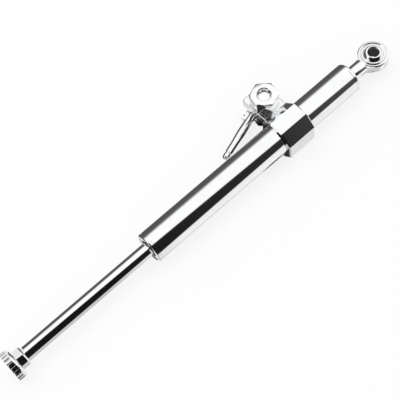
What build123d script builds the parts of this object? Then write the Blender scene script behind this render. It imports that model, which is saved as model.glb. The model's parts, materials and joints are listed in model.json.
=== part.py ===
from build123d import *
import os
from math import cos, radians, sin, tan

# A motorcycle steering damper. The rod passes right through the oil-filled tube: a rod end
# eye is on its upper end and a click adjuster on its lower end, and a clamp with a pivot
# ear holds the tube. X runs along the damper towards the eye, Z runs up along the eye's
# bore, and the origin is the centre of the eye's ball. All lengths are in millimetres.

os.makedirs("parts", exist_ok=True)

# Clearances
fit = 0.05              # between pieces that are pressed, screwed or sprung together
run = 0.05              # radial, between pieces that slide or turn on each other
face_gap = 0.05         # between flat faces that turn on each other
overrun = 1.0           # how far a cutting shape runs past a face

# Tube
tube_d = 22.0
tube_wall = 2.0
tube_length = 185.6
tube_edge = 0.5
tube_round = 1.2        # rounding of the tube's outer ends
rim_width = 2.4         # plain rim outside the decorative groove at each end
rim_groove = 0.45
rim_groove_depth = 0.3

# Rod
rod_d = 10.0
rod_bore_d = 4.0
stroke = 100.0
stud_d = 6.0            # screwed into the rod end
stud_length = 7.5
spigot_d = 8.0          # screwed into the adjuster's gland
spigot_length = 5.0
rod_edge = 0.4
collar_to_tube = 2.7    # what is left between the gland and the tube at full stroke

# Rod end
head_wall = 2.7         # round the liner
head_thick = 7.0
head_round = 1.2
seat_edge = 1.2         # countersink of the liner's seat
rod_end_length = 21.8   # from the ball's centre to the end of the shank
shank_d = 10.4
shank_edge = 0.6
shank_neck_d = 6.8      # where the round shank ends inside the head
neck_turn = 40          # between the neck's side and the shank's axis, in degrees
neck_thick = 6.2
shank_to_tube = 1.6     # gap between the shank and the tube at rest
eye_bore_d = 8.0
eye_edge = 0.45
ball_d = 15.88
ball_width = 12.0
liner_wall = 0.36       # at its thinnest, round the ball
liner_width = 7.2

# End stack, the same at each end of the tube
cap_recess = 0.5
cap_length = 6.0
cap_edge = 0.4
cap_bore_gap = 0.3      # radial, rod to cap and rod to seal head
spanner_hole_d = 1.2
spanner_hole_depth = 2.0
wiper_share = 0.45      # share of the room between rod and tube that the wiper fills
wiper_length = 3.0
wiper_lip = 0.6
head_length = 16.0
bush_share = 0.25
bush_to_seal = 2.0      # shoulder between the guide bush and the rod seal
seal_share = 0.625
seal_length = 4.0
seal_notch = 0.9
seal_notch_depth = 1.6
ring_groove = 2.0       # groove of the seal head's O-ring
ring_groove_depth = 1.4
clip_thick = 1.0
clip_depth = 0.5        # how far the retaining ring's groove goes into the tube
clip_width = 1.8
clip_gap_angle = 44.0
clip_ear_d = 2.4
clip_hole_d = 0.9
sleeve_length = 20.1
sleeve_wall = 1.9

# Piston
piston_length = 12.0
piston_start = 2.0      # from the lower retaining ring to the piston's clip at rest
piston_ring_width = 4.0
piston_ring_depth = 1.4
piston_ring_slit = 0.6
piston_port_d = 1.6
piston_ports = 6
rod_clip_thick = 0.8
rod_clip_depth = 0.5
rod_clip_width = 1.8
rod_clip_open_angle = 70.0
cross_port_d = 2.0
cross_port_gap = 3.0    # from the rod's clip to the edge of the cross port
orifice_d = 2.0

# Adjuster
collar_d = 13.4
collar_length = 6.0
collar_edge = 0.9
knob_gap = 0.2          # between the gland and the knob
crown_d = 20.8
crown_length = 6.2
crown_edge = 0.5
crown_round = 2.0       # of the shoulder that faces the gland
flutes = 22
flute_d = 1.4
flute_length = 4.0
flute_turn = 3.2        # degrees, how the flutes stand with the knob at rest
nose_d = 7.0
nose_recess = 1.0       # nose end to the knob's outer face
knob_pocket_wall = 4.2
knob_pocket_depth = 2.0
knob_clip_thick = 0.6
knob_clip_depth = 0.4
knob_clip_width = 1.9
knob_cap_thick = 0.8
tongue_width = 3.0
tongue_thick = 0.8
tongue_grip = 0.6       # how far the tongue reaches into the slot with the knob fully in
detent_ball_d = 1.6
detent_circle_d = 9.5
detent_groove_depth = 0.4
detent_hole_depth = 3.3
detents = 2
detent_wire_d = 0.3
detent_coils = 3

# Needle
needle_feed = 1.0       # travel over the knob's two turns
needle_tail_gap = 1.4   # knob cap to the needle's tail with the knob fully out
needle_slot_depth = 2.6
needle_stem_d = 2.6
needle_tip_d = 0.4
needle_cone = 3.0
needle_cone_past_seat = 0.8
needle_ring_wire_d = 0.66
needle_ring_groove = 1.0
needle_ring_place = 12.0    # from the gland's upper end

# Clamp, placed along the tube by its upper face
clamp_side_wall = 2.7   # at the thinnest place beside the tube
clamp_flat_wall = 2.5   # above and below the tube
upper_facet = 8.1       # how far the two upper slanting flats cut in
lower_facet = 5.0
clamp_length = 23.6
clamp_place = 70.4      # from the ball's centre
clamp_edge = 0.8
ear_thick = 6.0
ear_width = 19.6
ear_past_pivot = 12.4   # from the pivot's axis to the ear's end
ear_corner = 2.2
ear_edge = 0.5
nut_to_clamp = 1.3      # from the clamp's side to the circle round the nut's corners
pivot_inset = 10.0      # from the clamp's upper face to the pivot's axis
grub_d = 4.0
grub_inset = 0.3
grub_socket = 2.0
grub_socket_depth = 1.2
grub_spacing = 11.0

# Pivot
pivot_bush_d = 13.0
pivot_bush_flange_d = 17.0
pivot_bush_flange = 0.7
shoulder_d = 11.0
hex_flats = 18.0
hex_edge = 0.9
hex_turn = 19.0         # degrees, how the nut and the bolt's head stand at rest
nut_height = 10.0
nut_mouth = 0.5
pivot_thread_d = 9.4    # mean diameter of an M10 thread
pivot_thread_edge = 0.8
thread_recess = 3.0     # the bolt's end lies this far below the nut's top
hub_thick = 5.2

# Stay arm, which points along the tube and closes in on it
hub_d = 19.0
stay_turn = 17.6        # degrees between the arm and the tube
stay_offset = 5.6       # from the pivot's axis to the arm's axis, on the outer side
stay_length = 47.3      # from the foot of that offset to the arm's tip
stay_d = 5.8
stay_waist_d = 5.1      # at the root
stay_pin_d = 5.0
stay_pin_length = 6.0
stay_groove_d = 3.8
stay_groove = 1.0
stay_tip_d = 4.6
stay_tip_length = 4.5
eyelet_d = 4.8
eyelet_hole_d = 1.6
eyelet_thick = 3.6
eyelet_along = 11.4     # from the foot of the offset, along the arm
eyelet_out = 4.3        # from the arm's axis
web_along = 5.0         # where the web of the eyelet starts
web_d = 5.0             # its width there

# Places along the tube's axis
shank_end = -rod_end_length
upper_end = shank_end - shank_to_tube
lower_end = upper_end - tube_length
collar_top = lower_end - stroke - collar_to_tube
collar_low = collar_top - collar_length
crown_top = collar_low - knob_gap
crown_low = crown_top - crown_length
stack_length = cap_recess + cap_length + head_length
lower_stop = lower_end + stack_length + clip_thick + 2 * fit
upper_stop = upper_end - stack_length - clip_thick - 2 * fit
lower_clip = lower_stop + piston_start
piston_low = lower_clip + rod_clip_thick
piston_high = piston_low + piston_length
upper_clip = piston_high
low_port = lower_clip - cross_port_gap - cross_port_d / 2
high_port = upper_clip + rod_clip_thick + cross_port_gap + cross_port_d / 2
seat = (piston_low + piston_high) / 2
clamp_high = -clamp_place
clamp_low = clamp_high - clamp_length
pivot_x = clamp_high - pivot_inset
ear_x = clamp_high - ear_width / 2

# Sizes across the damper
tube_bore_d = tube_d - 2 * tube_wall
ring_room = tube_bore_d - rod_d
wiper_d = rod_d + wiper_share * ring_room
bush_d = rod_d + bush_share * ring_room
seal_d = rod_d + seal_share * ring_room
liner_d = ball_d + 2 * liner_wall
head_d = liner_d + 2 * head_wall
knob_pocket_d = crown_d - 2 * knob_pocket_wall
bush_length = head_length - seal_length - bush_to_seal
side_y = tube_d / 2 + clamp_side_wall
clamp_high_z = tube_d / 2 + clamp_flat_wall
clamp_low_z = clamp_high_z
hex_corner_r = hex_flats / 2 / cos(radians(30))
pivot_reach = side_y + nut_to_clamp + hex_corner_r
ear_reach = pivot_reach + ear_past_pivot

# Radii that several pieces share
rod_r = rod_d / 2
bore_r = tube_bore_d / 2
guide_r = rod_r + run
throat_r = rod_r + cap_bore_gap
ENDS = (("lower", lower_end, 1), ("upper", upper_end, -1))

# Tube: a thin groove marks off each rim, and inner grooves take the retaining rings
with BuildPart() as body_tube:
    with BuildSketch(Plane.YZ.offset(lower_end)):
        Circle(tube_d / 2)
        Circle(bore_r, mode=Mode.SUBTRACT)
    extrude(amount=tube_length)
    round_edges = body_tube.edges().filter_by(GeomType.CIRCLE)
    outer_edges = round_edges.filter_by(lambda e: e.radius > bore_r + fit)
    inner_edges = round_edges.filter_by(lambda e: e.radius < bore_r + fit)
    fillet(outer_edges, radius=tube_round)
    chamfer(inner_edges, length=tube_edge)
    for end, face, inward in ENDS:
        with BuildSketch(Plane.YZ.offset(face + inward * rim_width)):
            Circle(tube_d / 2 + overrun)
            Circle(tube_d / 2 - rim_groove_depth, mode=Mode.SUBTRACT)
        extrude(amount=inward * rim_groove, mode=Mode.SUBTRACT)
        with BuildSketch(Plane.YZ.offset(face + inward * stack_length)):
            Circle(bore_r + clip_depth)
        extrude(amount=inward * (clip_thick + 2 * fit), mode=Mode.SUBTRACT)
body_tube.part.label = "body_tube"
export_step(body_tube.part, "parts/body_tube.step")

for end, face, inward in ENDS:
    cap_face = face + inward * cap_recess
    head_face = cap_face + inward * cap_length
    oil_face = head_face + inward * head_length

    # End cap: screwed in, with a pocket for the wiper and two holes for a pin spanner
    with BuildPart() as end_cap:
        with BuildSketch(Plane.YZ.offset(cap_face)):
            Circle(bore_r - fit)
        extrude(amount=inward * (cap_length - fit))
        chamfer(end_cap.edges().filter_by(GeomType.CIRCLE), length=cap_edge)
        with BuildSketch(Plane.YZ.offset(cap_face)):
            Circle(throat_r)
        extrude(amount=inward * cap_length, mode=Mode.SUBTRACT)
        with BuildSketch(Plane.YZ.offset(cap_face)):
            Circle(wiper_d / 2 + fit)
        extrude(amount=inward * wiper_length, mode=Mode.SUBTRACT)
        with BuildSketch(Plane.YZ.offset(cap_face)):
            with PolarLocations((wiper_d / 2 + bore_r) / 2, 2, start_angle=90):
                Circle(spanner_hole_d / 2)
        extrude(amount=inward * spanner_hole_depth, mode=Mode.SUBTRACT)
    end_cap.part.label = f"{end}_end_cap"
    export_step(end_cap.part, f"parts/{end}_end_cap.step")

    # Wiper: a ring with a lip that leans on the rod
    with BuildPart() as rod_wiper:
        with BuildSketch(Plane.XZ):
            with BuildLine():
                Polyline(
                    (cap_face + inward * (wiper_length - fit), guide_r + wiper_lip),
                    (cap_face + inward * (wiper_length - fit), wiper_d / 2),
                    (cap_face, wiper_d / 2),
                    (cap_face, guide_r + wiper_lip),
                    (cap_face + inward * wiper_lip, guide_r),
                    (cap_face + inward * wiper_length / 2, guide_r),
                    close=True,
                )
            make_face()
        revolve(axis=Axis.X)
    rod_wiper.part.label = f"{end}_rod_wiper"
    export_step(rod_wiper.part, f"parts/{end}_rod_wiper.step")

    # Seal head: carries the guide bush and the rod seal, and a groove for its O-ring
    ring_start = head_face + inward * (head_length - seal_length - 2 * ring_groove)
    with BuildPart() as seal_head:
        with BuildSketch(Plane.YZ.offset(head_face)):
            Circle(bore_r - fit)
        extrude(amount=inward * head_length)
        chamfer(seal_head.edges().filter_by(GeomType.CIRCLE), length=cap_edge)
        with BuildSketch(Plane.YZ.offset(head_face)):
            Circle(throat_r)
        extrude(amount=inward * head_length, mode=Mode.SUBTRACT)
        with BuildSketch(Plane.YZ.offset(head_face)):
            Circle(bush_d / 2 + fit)
        extrude(amount=inward * bush_length, mode=Mode.SUBTRACT)
        with BuildSketch(Plane.YZ.offset(oil_face)):
            Circle(seal_d / 2 + fit)
        extrude(amount=-inward * seal_length, mode=Mode.SUBTRACT)
        with BuildSketch(Plane.YZ.offset(ring_start)):
            Circle(bore_r)
            Circle(bore_r - ring_groove_depth, mode=Mode.SUBTRACT)
        extrude(amount=inward * ring_groove, mode=Mode.SUBTRACT)
    seal_head.part.label = f"{end}_seal_head"
    export_step(seal_head.part, f"parts/{end}_seal_head.step")

    # Guide bush: the rod slides in it
    with BuildPart() as guide_bush:
        with BuildSketch(Plane.YZ.offset(head_face)):
            Circle(bush_d / 2)
            Circle(guide_r, mode=Mode.SUBTRACT)
        extrude(amount=inward * (bush_length - fit))
    guide_bush.part.label = f"{end}_guide_bush"
    export_step(guide_bush.part, f"parts/{end}_guide_bush.step")

    # Rod seal: a U ring whose notch faces the oil
    seal_mid = (guide_r + seal_d / 2) / 2
    with BuildPart() as rod_seal:
        with BuildSketch(Plane.YZ.offset(oil_face)):
            Circle(seal_d / 2)
            Circle(guide_r, mode=Mode.SUBTRACT)
        extrude(amount=-inward * (seal_length - fit))
        with BuildSketch(Plane.YZ.offset(oil_face)):
            Circle(seal_mid + seal_notch / 2)
            Circle(seal_mid - seal_notch / 2, mode=Mode.SUBTRACT)
        extrude(amount=-inward * seal_notch_depth, mode=Mode.SUBTRACT)
    rod_seal.part.label = f"{end}_rod_seal"
    export_step(rod_seal.part, f"parts/{end}_rod_seal.step")

# O-rings of the two seal heads
ring_wire_r = (ring_groove_depth - fit) / 2
with BuildPart() as head_o_rings:
    for end, face, inward in ENDS:
        groove_x = stack_length - seal_length - 2 * ring_groove + ring_groove / 2
        with BuildSketch(Plane.XZ):
            with Locations((face + inward * groove_x, bore_r - ring_wire_r - fit / 2)):
                Circle(ring_wire_r)
        revolve(axis=Axis.X)
head_o_rings.part.label = "head_o_rings"
export_step(head_o_rings.part, "parts/head_o_rings.step")

# Retaining rings: sprung into the tube's inner grooves, with two ears for the pliers
clip_r = bore_r + clip_depth - fit
ear_circle = clip_r - clip_width / 2 - clip_ear_d / 4
with BuildPart() as head_retaining_rings:
    for end, face, inward in ENDS:
        with BuildSketch(Plane.YZ.offset(face + inward * (stack_length + fit))):
            Circle(clip_r)
            Circle(clip_r - clip_width, mode=Mode.SUBTRACT)
            with BuildLine(mode=Mode.PRIVATE) as opening:
                Polyline(
                    (0, 0),
                    (2 * clip_r, -2 * clip_r * sin(radians(clip_gap_angle / 2))),
                    (2 * clip_r, 2 * clip_r * sin(radians(clip_gap_angle / 2))),
                    close=True,
                )
            make_face(opening.edges(), mode=Mode.SUBTRACT)
            for side in (1, -1):
                ear_angle = side * (radians(clip_gap_angle / 2) + clip_ear_d / 2 / ear_circle)
                with Locations((ear_circle * cos(ear_angle), ear_circle * sin(ear_angle))):
                    Circle(clip_ear_d / 2)
                    Circle(clip_hole_d / 2, mode=Mode.SUBTRACT)
        extrude(amount=inward * clip_thick)
head_retaining_rings.part.label = "head_retaining_rings"
export_step(head_retaining_rings.part, "parts/head_retaining_rings.step")

# Stop sleeve: ends the stroke inside the tube's upper end
with BuildPart() as stop_sleeve:
    with BuildSketch(Plane.YZ.offset(upper_stop)):
        Circle(bore_r - run)
        Circle(bore_r - sleeve_wall, mode=Mode.SUBTRACT)
    extrude(amount=-sleeve_length)
    chamfer(stop_sleeve.edges().filter_by(GeomType.CIRCLE), length=rod_edge)
stop_sleeve.part.label = "stop_sleeve"
export_step(stop_sleeve.part, "parts/stop_sleeve.step")

# Piston rod: hollow up to the needle's seat, with a cross port on each side of the piston
with BuildPart() as piston_rod:
    with BuildSketch(Plane.YZ.offset(collar_top)):
        Circle(rod_r)
    extrude(amount=shank_end - collar_top)
    with BuildSketch(Plane.YZ.offset(shank_end)):
        Circle(stud_d / 2)
    extrude(amount=stud_length)
    with BuildSketch(Plane.YZ.offset(collar_top)):
        Circle(spigot_d / 2)
    extrude(amount=-spigot_length)
    for place in (0, -1):
        chamfer(piston_rod.edges().filter_by(GeomType.CIRCLE).group_by(Axis.X)[place], length=rod_edge)
    with BuildSketch(Plane.YZ.offset(collar_top - spigot_length)):
        Circle(rod_bore_d / 2)
    extrude(amount=seat - collar_top + spigot_length, mode=Mode.SUBTRACT)
    with BuildSketch(Plane.YZ.offset(seat)):
        Circle(orifice_d / 2)
    extrude(amount=high_port - seat, mode=Mode.SUBTRACT)
    for port in (low_port, high_port):
        with BuildSketch(Plane.XY.offset(-rod_d)):
            with Locations((port, 0)):
                Circle(cross_port_d / 2)
        extrude(amount=2 * rod_d, mode=Mode.SUBTRACT)
    for groove in (lower_clip, upper_clip):
        with BuildSketch(Plane.YZ.offset(groove)):
            Circle(rod_d)
            Circle(rod_r - rod_clip_depth, mode=Mode.SUBTRACT)
        extrude(amount=rod_clip_thick, mode=Mode.SUBTRACT)
piston_rod.part.label = "piston_rod"
export_step(piston_rod.part, "parts/piston_rod.step")

# Piston: small ports run through it, and its ring sits in a groove
piston_r = bore_r - 2 * run
with BuildPart() as piston:
    with BuildSketch(Plane.YZ.offset(piston_low + fit)):
        Circle(piston_r)
    extrude(amount=piston_length - 2 * fit)
    chamfer(piston.edges().filter_by(GeomType.CIRCLE), length=rod_edge)
    with BuildSketch(Plane.YZ.offset(piston_low)):
        Circle(rod_r + fit)
        with PolarLocations((rod_r + piston_r - piston_ring_depth) / 2, piston_ports):
            Circle(piston_port_d / 2)
    extrude(amount=piston_length, mode=Mode.SUBTRACT)
    with BuildSketch(Plane.YZ.offset(seat - piston_ring_width / 2)):
        Circle(bore_r)
        Circle(piston_r - piston_ring_depth, mode=Mode.SUBTRACT)
    extrude(amount=piston_ring_width, mode=Mode.SUBTRACT)
piston.part.label = "piston"
export_step(piston.part, "parts/piston.step")

# Piston ring: slit so that it can be opened over the piston
with BuildPart() as piston_ring:
    with BuildSketch(Plane.YZ.offset(seat - piston_ring_width / 2 + fit)):
        Circle(bore_r - run)
        Circle(piston_r - piston_ring_depth + fit, mode=Mode.SUBTRACT)
        with Locations((bore_r, 0)):
            Rectangle(tube_bore_d, piston_ring_slit, mode=Mode.SUBTRACT)
    extrude(amount=piston_ring_width - 2 * fit)
piston_ring.part.label = "piston_ring"
export_step(piston_ring.part, "parts/piston_ring.step")

# Clips that hold the piston on the rod
rod_clip_r = rod_r - rod_clip_depth + fit
open_half = sin(radians(rod_clip_open_angle / 2))
with BuildPart() as piston_clips:
    for groove in (lower_clip, upper_clip):
        with BuildSketch(Plane.YZ.offset(groove + fit / 2)):
            Circle(rod_clip_r + rod_clip_width)
            Circle(rod_clip_r, mode=Mode.SUBTRACT)
            with BuildLine(mode=Mode.PRIVATE) as mouth:
                Polyline((0, 0), (rod_d, -rod_d * open_half), (rod_d, rod_d * open_half), close=True)
            make_face(mouth.edges(), mode=Mode.SUBTRACT)
        extrude(amount=rod_clip_thick - fit)
piston_clips.part.label = "piston_clips"
export_step(piston_clips.part, "parts/piston_clips.step")

# Rod end housing: a round head whose sides run straight to a slim round shank
touch_x = -head_d / 2 * sin(radians(neck_turn))
touch_y = head_d / 2 * cos(radians(neck_turn))
neck_x = touch_x - (touch_y - shank_d / 2) / tan(radians(neck_turn))
shank_root = -head_d / 2 + head_round
with BuildPart() as rod_end_housing:
    with BuildSketch(Plane.XY.offset(-head_thick / 2)):
        Circle(head_d / 2)
    extrude(amount=head_thick)
    fillet(rod_end_housing.edges().filter_by(GeomType.CIRCLE), radius=head_round)
    with BuildSketch(Plane.XZ):
        with BuildLine():
            Polyline(
                (shank_end, 0),
                (shank_end, shank_d / 2 - shank_edge),
                (shank_end + shank_edge, shank_d / 2),
                (neck_x, shank_d / 2),
                (shank_root, shank_neck_d / 2),
                (shank_root, 0),
                close=True,
            )
        make_face()
    revolve(axis=Axis.X)
    with BuildSketch(Plane.XY.offset(-neck_thick / 2)):
        with BuildLine():
            Polyline(
                (touch_x, touch_y),
                (neck_x, shank_d / 2),
                (neck_x, -shank_d / 2),
                (touch_x, -touch_y),
                close=True,
            )
        make_face()
    extrude(amount=neck_thick)
    with BuildSketch(Plane.XY.offset(-head_thick)):
        Circle(liner_d / 2)
    extrude(amount=2 * head_thick, mode=Mode.SUBTRACT)
    seat_edges = rod_end_housing.edges().filter_by(GeomType.CIRCLE)
    seat_edges = seat_edges.filter_by(lambda e: abs(e.radius - liner_d / 2) < fit)
    chamfer(seat_edges, length=seat_edge)
    with BuildSketch(Plane.YZ.offset(shank_end)):
        Circle(stud_d / 2 + fit)
    extrude(amount=stud_length + fit, mode=Mode.SUBTRACT)
rod_end_housing.part.label = "rod_end_housing"
export_step(rod_end_housing.part, "parts/rod_end_housing.step")

# Liner: a ring whose inside is a sphere, pressed into the head
with BuildPart() as rod_end_liner:
    with BuildSketch(Plane.XY.offset(-liner_width / 2)):
        Circle(liner_d / 2 - fit)
    extrude(amount=liner_width)
    Sphere(ball_d / 2 + run, mode=Mode.SUBTRACT)
rod_end_liner.part.label = "rod_end_liner"
export_step(rod_end_liner.part, "parts/rod_end_liner.step")

# Ball: a sphere cut flat at both sides, with the bore for the mounting bolt
with BuildPart() as rod_end_ball:
    Sphere(ball_d / 2)
    with BuildSketch(Plane.XY.offset(-ball_width / 2)):
        Circle(ball_d)
    extrude(amount=ball_width, mode=Mode.INTERSECT)
    with BuildSketch(Plane.XY.offset(-ball_width / 2)):
        Circle(eye_bore_d / 2)
    extrude(amount=ball_width, mode=Mode.SUBTRACT)
    mouths = rod_end_ball.edges().filter_by(GeomType.CIRCLE)
    mouths = mouths.filter_by(lambda e: e.radius < eye_bore_d / 2 + fit)
    chamfer(mouths, length=eye_edge)
rod_end_ball.part.label = "rod_end_ball"
export_step(rod_end_ball.part, "parts/rod_end_ball.step")

# Adjuster gland: screwed on the rod, with a nose for the knob and a track for the detents
nose_end = crown_low + nose_recess
knob_web = crown_low + knob_pocket_depth
knob_clip_x = knob_web - face_gap - knob_clip_thick
track_half = detent_ball_d / 2 - fit
with BuildPart() as adjuster_gland:
    with BuildSketch(Plane.YZ.offset(collar_low)):
        Circle(collar_d / 2)
    extrude(amount=collar_length - fit)
    chamfer(adjuster_gland.edges().filter_by(GeomType.CIRCLE).sort_by(Axis.X)[-1], length=collar_edge)
    with BuildSketch(Plane.YZ.offset(nose_end)):
        Circle(nose_d / 2)
    extrude(amount=collar_low - nose_end)
    with BuildSketch(Plane.YZ.offset(nose_end)):
        Circle(rod_bore_d / 2)
    extrude(amount=collar_top - nose_end, mode=Mode.SUBTRACT)
    with BuildSketch(Plane.YZ.offset(collar_top)):
        Circle(spigot_d / 2 + fit)
    extrude(amount=-spigot_length - fit, mode=Mode.SUBTRACT)
    with BuildSketch(Plane.YZ.offset(collar_low)):
        Circle(detent_circle_d / 2 + track_half)
        Circle(detent_circle_d / 2 - track_half, mode=Mode.SUBTRACT)
    extrude(amount=detent_groove_depth, mode=Mode.SUBTRACT)
    with BuildSketch(Plane.YZ.offset(knob_clip_x - fit / 2)):
        Circle(nose_d)
        Circle(nose_d / 2 - knob_clip_depth, mode=Mode.SUBTRACT)
    extrude(amount=knob_clip_thick + fit, mode=Mode.SUBTRACT)
adjuster_gland.part.label = "adjuster_gland"
export_step(adjuster_gland.part, "parts/adjuster_gland.step")

# Knob: a fluted crown that turns on the gland's nose
with BuildPart() as adjuster_knob:
    with BuildSketch(Plane.YZ.offset(crown_low)):
        Circle(crown_d / 2)
    extrude(amount=crown_length)
    chamfer(adjuster_knob.edges().filter_by(GeomType.CIRCLE).sort_by(Axis.X)[0], length=crown_edge)
    fillet(adjuster_knob.edges().filter_by(GeomType.CIRCLE).sort_by(Axis.X)[-1], radius=crown_round)
    with BuildSketch(Plane.YZ.offset(crown_low)):
        with PolarLocations(crown_d / 2, flutes, start_angle=flute_turn):
            Circle(flute_d / 2)
    extrude(amount=flute_length, mode=Mode.SUBTRACT)
    with BuildSketch(Plane.YZ.offset(crown_low)):
        Circle(nose_d / 2 + run)
    extrude(amount=crown_length, mode=Mode.SUBTRACT)
    with BuildSketch(Plane.YZ.offset(crown_low)):
        Circle(knob_pocket_d / 2)
    extrude(amount=knob_pocket_depth, mode=Mode.SUBTRACT)
    with BuildSketch(Plane.YZ.offset(crown_top)):
        with PolarLocations(detent_circle_d / 2, detents):
            Circle(detent_ball_d / 2 + fit)
    extrude(amount=-detent_hole_depth, mode=Mode.SUBTRACT)
adjuster_knob.part.label = "adjuster_knob"
export_step(adjuster_knob.part, "parts/adjuster_knob.step")

# Clip that keeps the knob on the nose
knob_clip_r = nose_d / 2 - knob_clip_depth + fit
with BuildPart() as knob_clip:
    with BuildSketch(Plane.YZ.offset(knob_clip_x)):
        Circle(knob_clip_r + knob_clip_width)
        Circle(knob_clip_r, mode=Mode.SUBTRACT)
        with BuildLine(mode=Mode.PRIVATE) as knob_mouth:
            Polyline((0, 0), (nose_d, -nose_d * open_half), (nose_d, nose_d * open_half), close=True)
        make_face(knob_mouth.edges(), mode=Mode.SUBTRACT)
    extrude(amount=knob_clip_thick)
knob_clip.part.label = "knob_clip"
export_step(knob_clip.part, "parts/knob_clip.step")

# Knob cap: pressed into the knob, with a tongue that turns the needle
cap_inner = crown_low + knob_cap_thick
tongue_length = needle_tail_gap + needle_feed + tongue_grip
with BuildPart() as knob_cap:
    with BuildSketch(Plane.YZ.offset(crown_low)):
        Circle(knob_pocket_d / 2 - fit)
    extrude(amount=knob_cap_thick)
    with BuildSketch(Plane.YZ.offset(cap_inner)):
        Rectangle(tongue_width, tongue_thick)
    extrude(amount=tongue_length)
knob_cap.part.label = "knob_cap"
export_step(knob_cap.part, "parts/knob_cap.step")

# Detent balls, which run in the gland's track
ball_x = collar_low + detent_groove_depth - face_gap - detent_ball_d / 2
with BuildPart() as detent_balls:
    with Locations(Plane.YZ.offset(ball_x)):
        with PolarLocations(detent_circle_d / 2, detents):
            Sphere(detent_ball_d / 2)
detent_balls.part.label = "detent_balls"
export_step(detent_balls.part, "parts/detent_balls.step")

# Detent springs behind the balls
spring_low = crown_top - detent_hole_depth + face_gap + detent_wire_d / 2
spring_high = ball_x - detent_ball_d / 2 - face_gap - detent_wire_d / 2
spring_r = (detent_ball_d - detent_wire_d) / 2 - fit
spring_pitch = (spring_high - spring_low) / detent_coils
with BuildPart() as detent_springs:
    for count in range(detents):
        turn = radians(360 / detents * count)
        centre = (spring_low, detent_circle_d / 2 * cos(turn), detent_circle_d / 2 * sin(turn))
        with BuildLine() as coil:
            Helix(
                pitch=spring_pitch,
                height=spring_high - spring_low,
                radius=spring_r,
                center=centre,
                direction=(1, 0, 0),
            )
        with BuildSketch(Plane(origin=coil.line @ 0, z_dir=coil.line % 0)):
            Circle(detent_wire_d / 2)
        sweep(path=coil.line)
detent_springs.part.label = "detent_springs"
export_step(detent_springs.part, "parts/detent_springs.step")

# Needle: slides in the rod's bore, with a slot in its tail, a thin stem and a cone at the seat
needle_r = rod_bore_d / 2 - run
stem_r = needle_stem_d / 2
needle_tail = cap_inner + needle_tail_gap
needle_tip = seat + needle_cone_past_seat
stem_start = low_port - cross_port_d
ring_x = collar_top + needle_ring_place
groove_r = needle_r - needle_ring_wire_d
with BuildPart() as needle:
    with BuildSketch(Plane.XZ):
        with BuildLine():
            Polyline(
                (needle_tail, 0),
                (needle_tail, needle_r),
                (ring_x - needle_ring_groove / 2, needle_r),
                (ring_x - needle_ring_groove / 2, groove_r),
                (ring_x + needle_ring_groove / 2, groove_r),
                (ring_x + needle_ring_groove / 2, needle_r),
                (stem_start, needle_r),
                (stem_start, stem_r),
                (needle_tip - needle_cone, stem_r),
                (needle_tip, needle_tip_d / 2),
                (needle_tip, 0),
                close=True,
            )
        make_face()
    revolve(axis=Axis.X)
    with BuildSketch(Plane.YZ.offset(needle_tail)):
        Rectangle(rod_bore_d, tongue_thick + 2 * run)
    extrude(amount=needle_slot_depth, mode=Mode.SUBTRACT)
needle.part.label = "needle"
export_step(needle.part, "parts/needle.step")

# O-ring of the needle
with BuildPart() as needle_o_ring:
    with BuildSketch(Plane.XZ):
        with Locations((ring_x, needle_r - needle_ring_wire_d / 2 + fit / 2)):
            Circle((needle_ring_wire_d - fit) / 2)
    revolve(axis=Axis.X)
needle_o_ring.part.label = "needle_o_ring"
export_step(needle_o_ring.part, "parts/needle_o_ring.step")

# Clamp collar: an eight-sided block round the tube with a flat ear on one side
with BuildPart() as clamp_collar:
    with BuildSketch(Plane.YZ.offset(clamp_low)):
        with BuildLine():
            Polyline(
                (side_y - upper_facet, clamp_high_z),
                (side_y, clamp_high_z - upper_facet),
                (side_y, lower_facet - clamp_low_z),
                (side_y - lower_facet, -clamp_low_z),
                (lower_facet - side_y, -clamp_low_z),
                (-side_y, lower_facet - clamp_low_z),
                (-side_y, clamp_high_z - upper_facet),
                (upper_facet - side_y, clamp_high_z),
                close=True,
            )
        make_face()
    extrude(amount=clamp_length)
    chamfer(clamp_collar.faces().filter_by(Axis.X).edges(), length=clamp_edge)
    with BuildSketch(Plane.XY.offset(-ear_thick / 2)) as ear_outline:
        with Locations((ear_x, ear_reach / 2)):
            Rectangle(ear_width, ear_reach)
        fillet(ear_outline.vertices().group_by(Axis.Y)[-1], radius=ear_corner)
    extrude(amount=ear_thick)
    outer_face_y = side_y + clamp_edge
    for level in (ear_thick / 2, -ear_thick / 2):
        rim = clamp_collar.faces().filter_by(Axis.Z).filter_by(lambda f: abs(f.center().Z - level) < fit)
        rim_edges = rim.edges().filter_by(lambda e: e.center().Y > outer_face_y)
        chamfer(rim_edges, length=ear_edge)
    with BuildSketch(Plane.YZ.offset(clamp_low)):
        Circle(tube_d / 2 + run)
    extrude(amount=clamp_length, mode=Mode.SUBTRACT)
    with BuildSketch(Plane.XY.offset(-ear_thick)):
        with Locations((pivot_x, pivot_reach)):
            Circle(pivot_bush_d / 2)
    extrude(amount=2 * ear_thick, mode=Mode.SUBTRACT)
    with BuildSketch(Plane.XY.offset(-clamp_low_z)):
        with Locations(((clamp_low + clamp_high) / 2, 0)):
            with GridLocations(grub_spacing, 0, 2, 1):
                Circle(grub_d / 2 + fit)
    extrude(amount=clamp_low_z, mode=Mode.SUBTRACT)
clamp_collar.part.label = "clamp_collar"
export_step(clamp_collar.part, "parts/clamp_collar.step")

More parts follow.
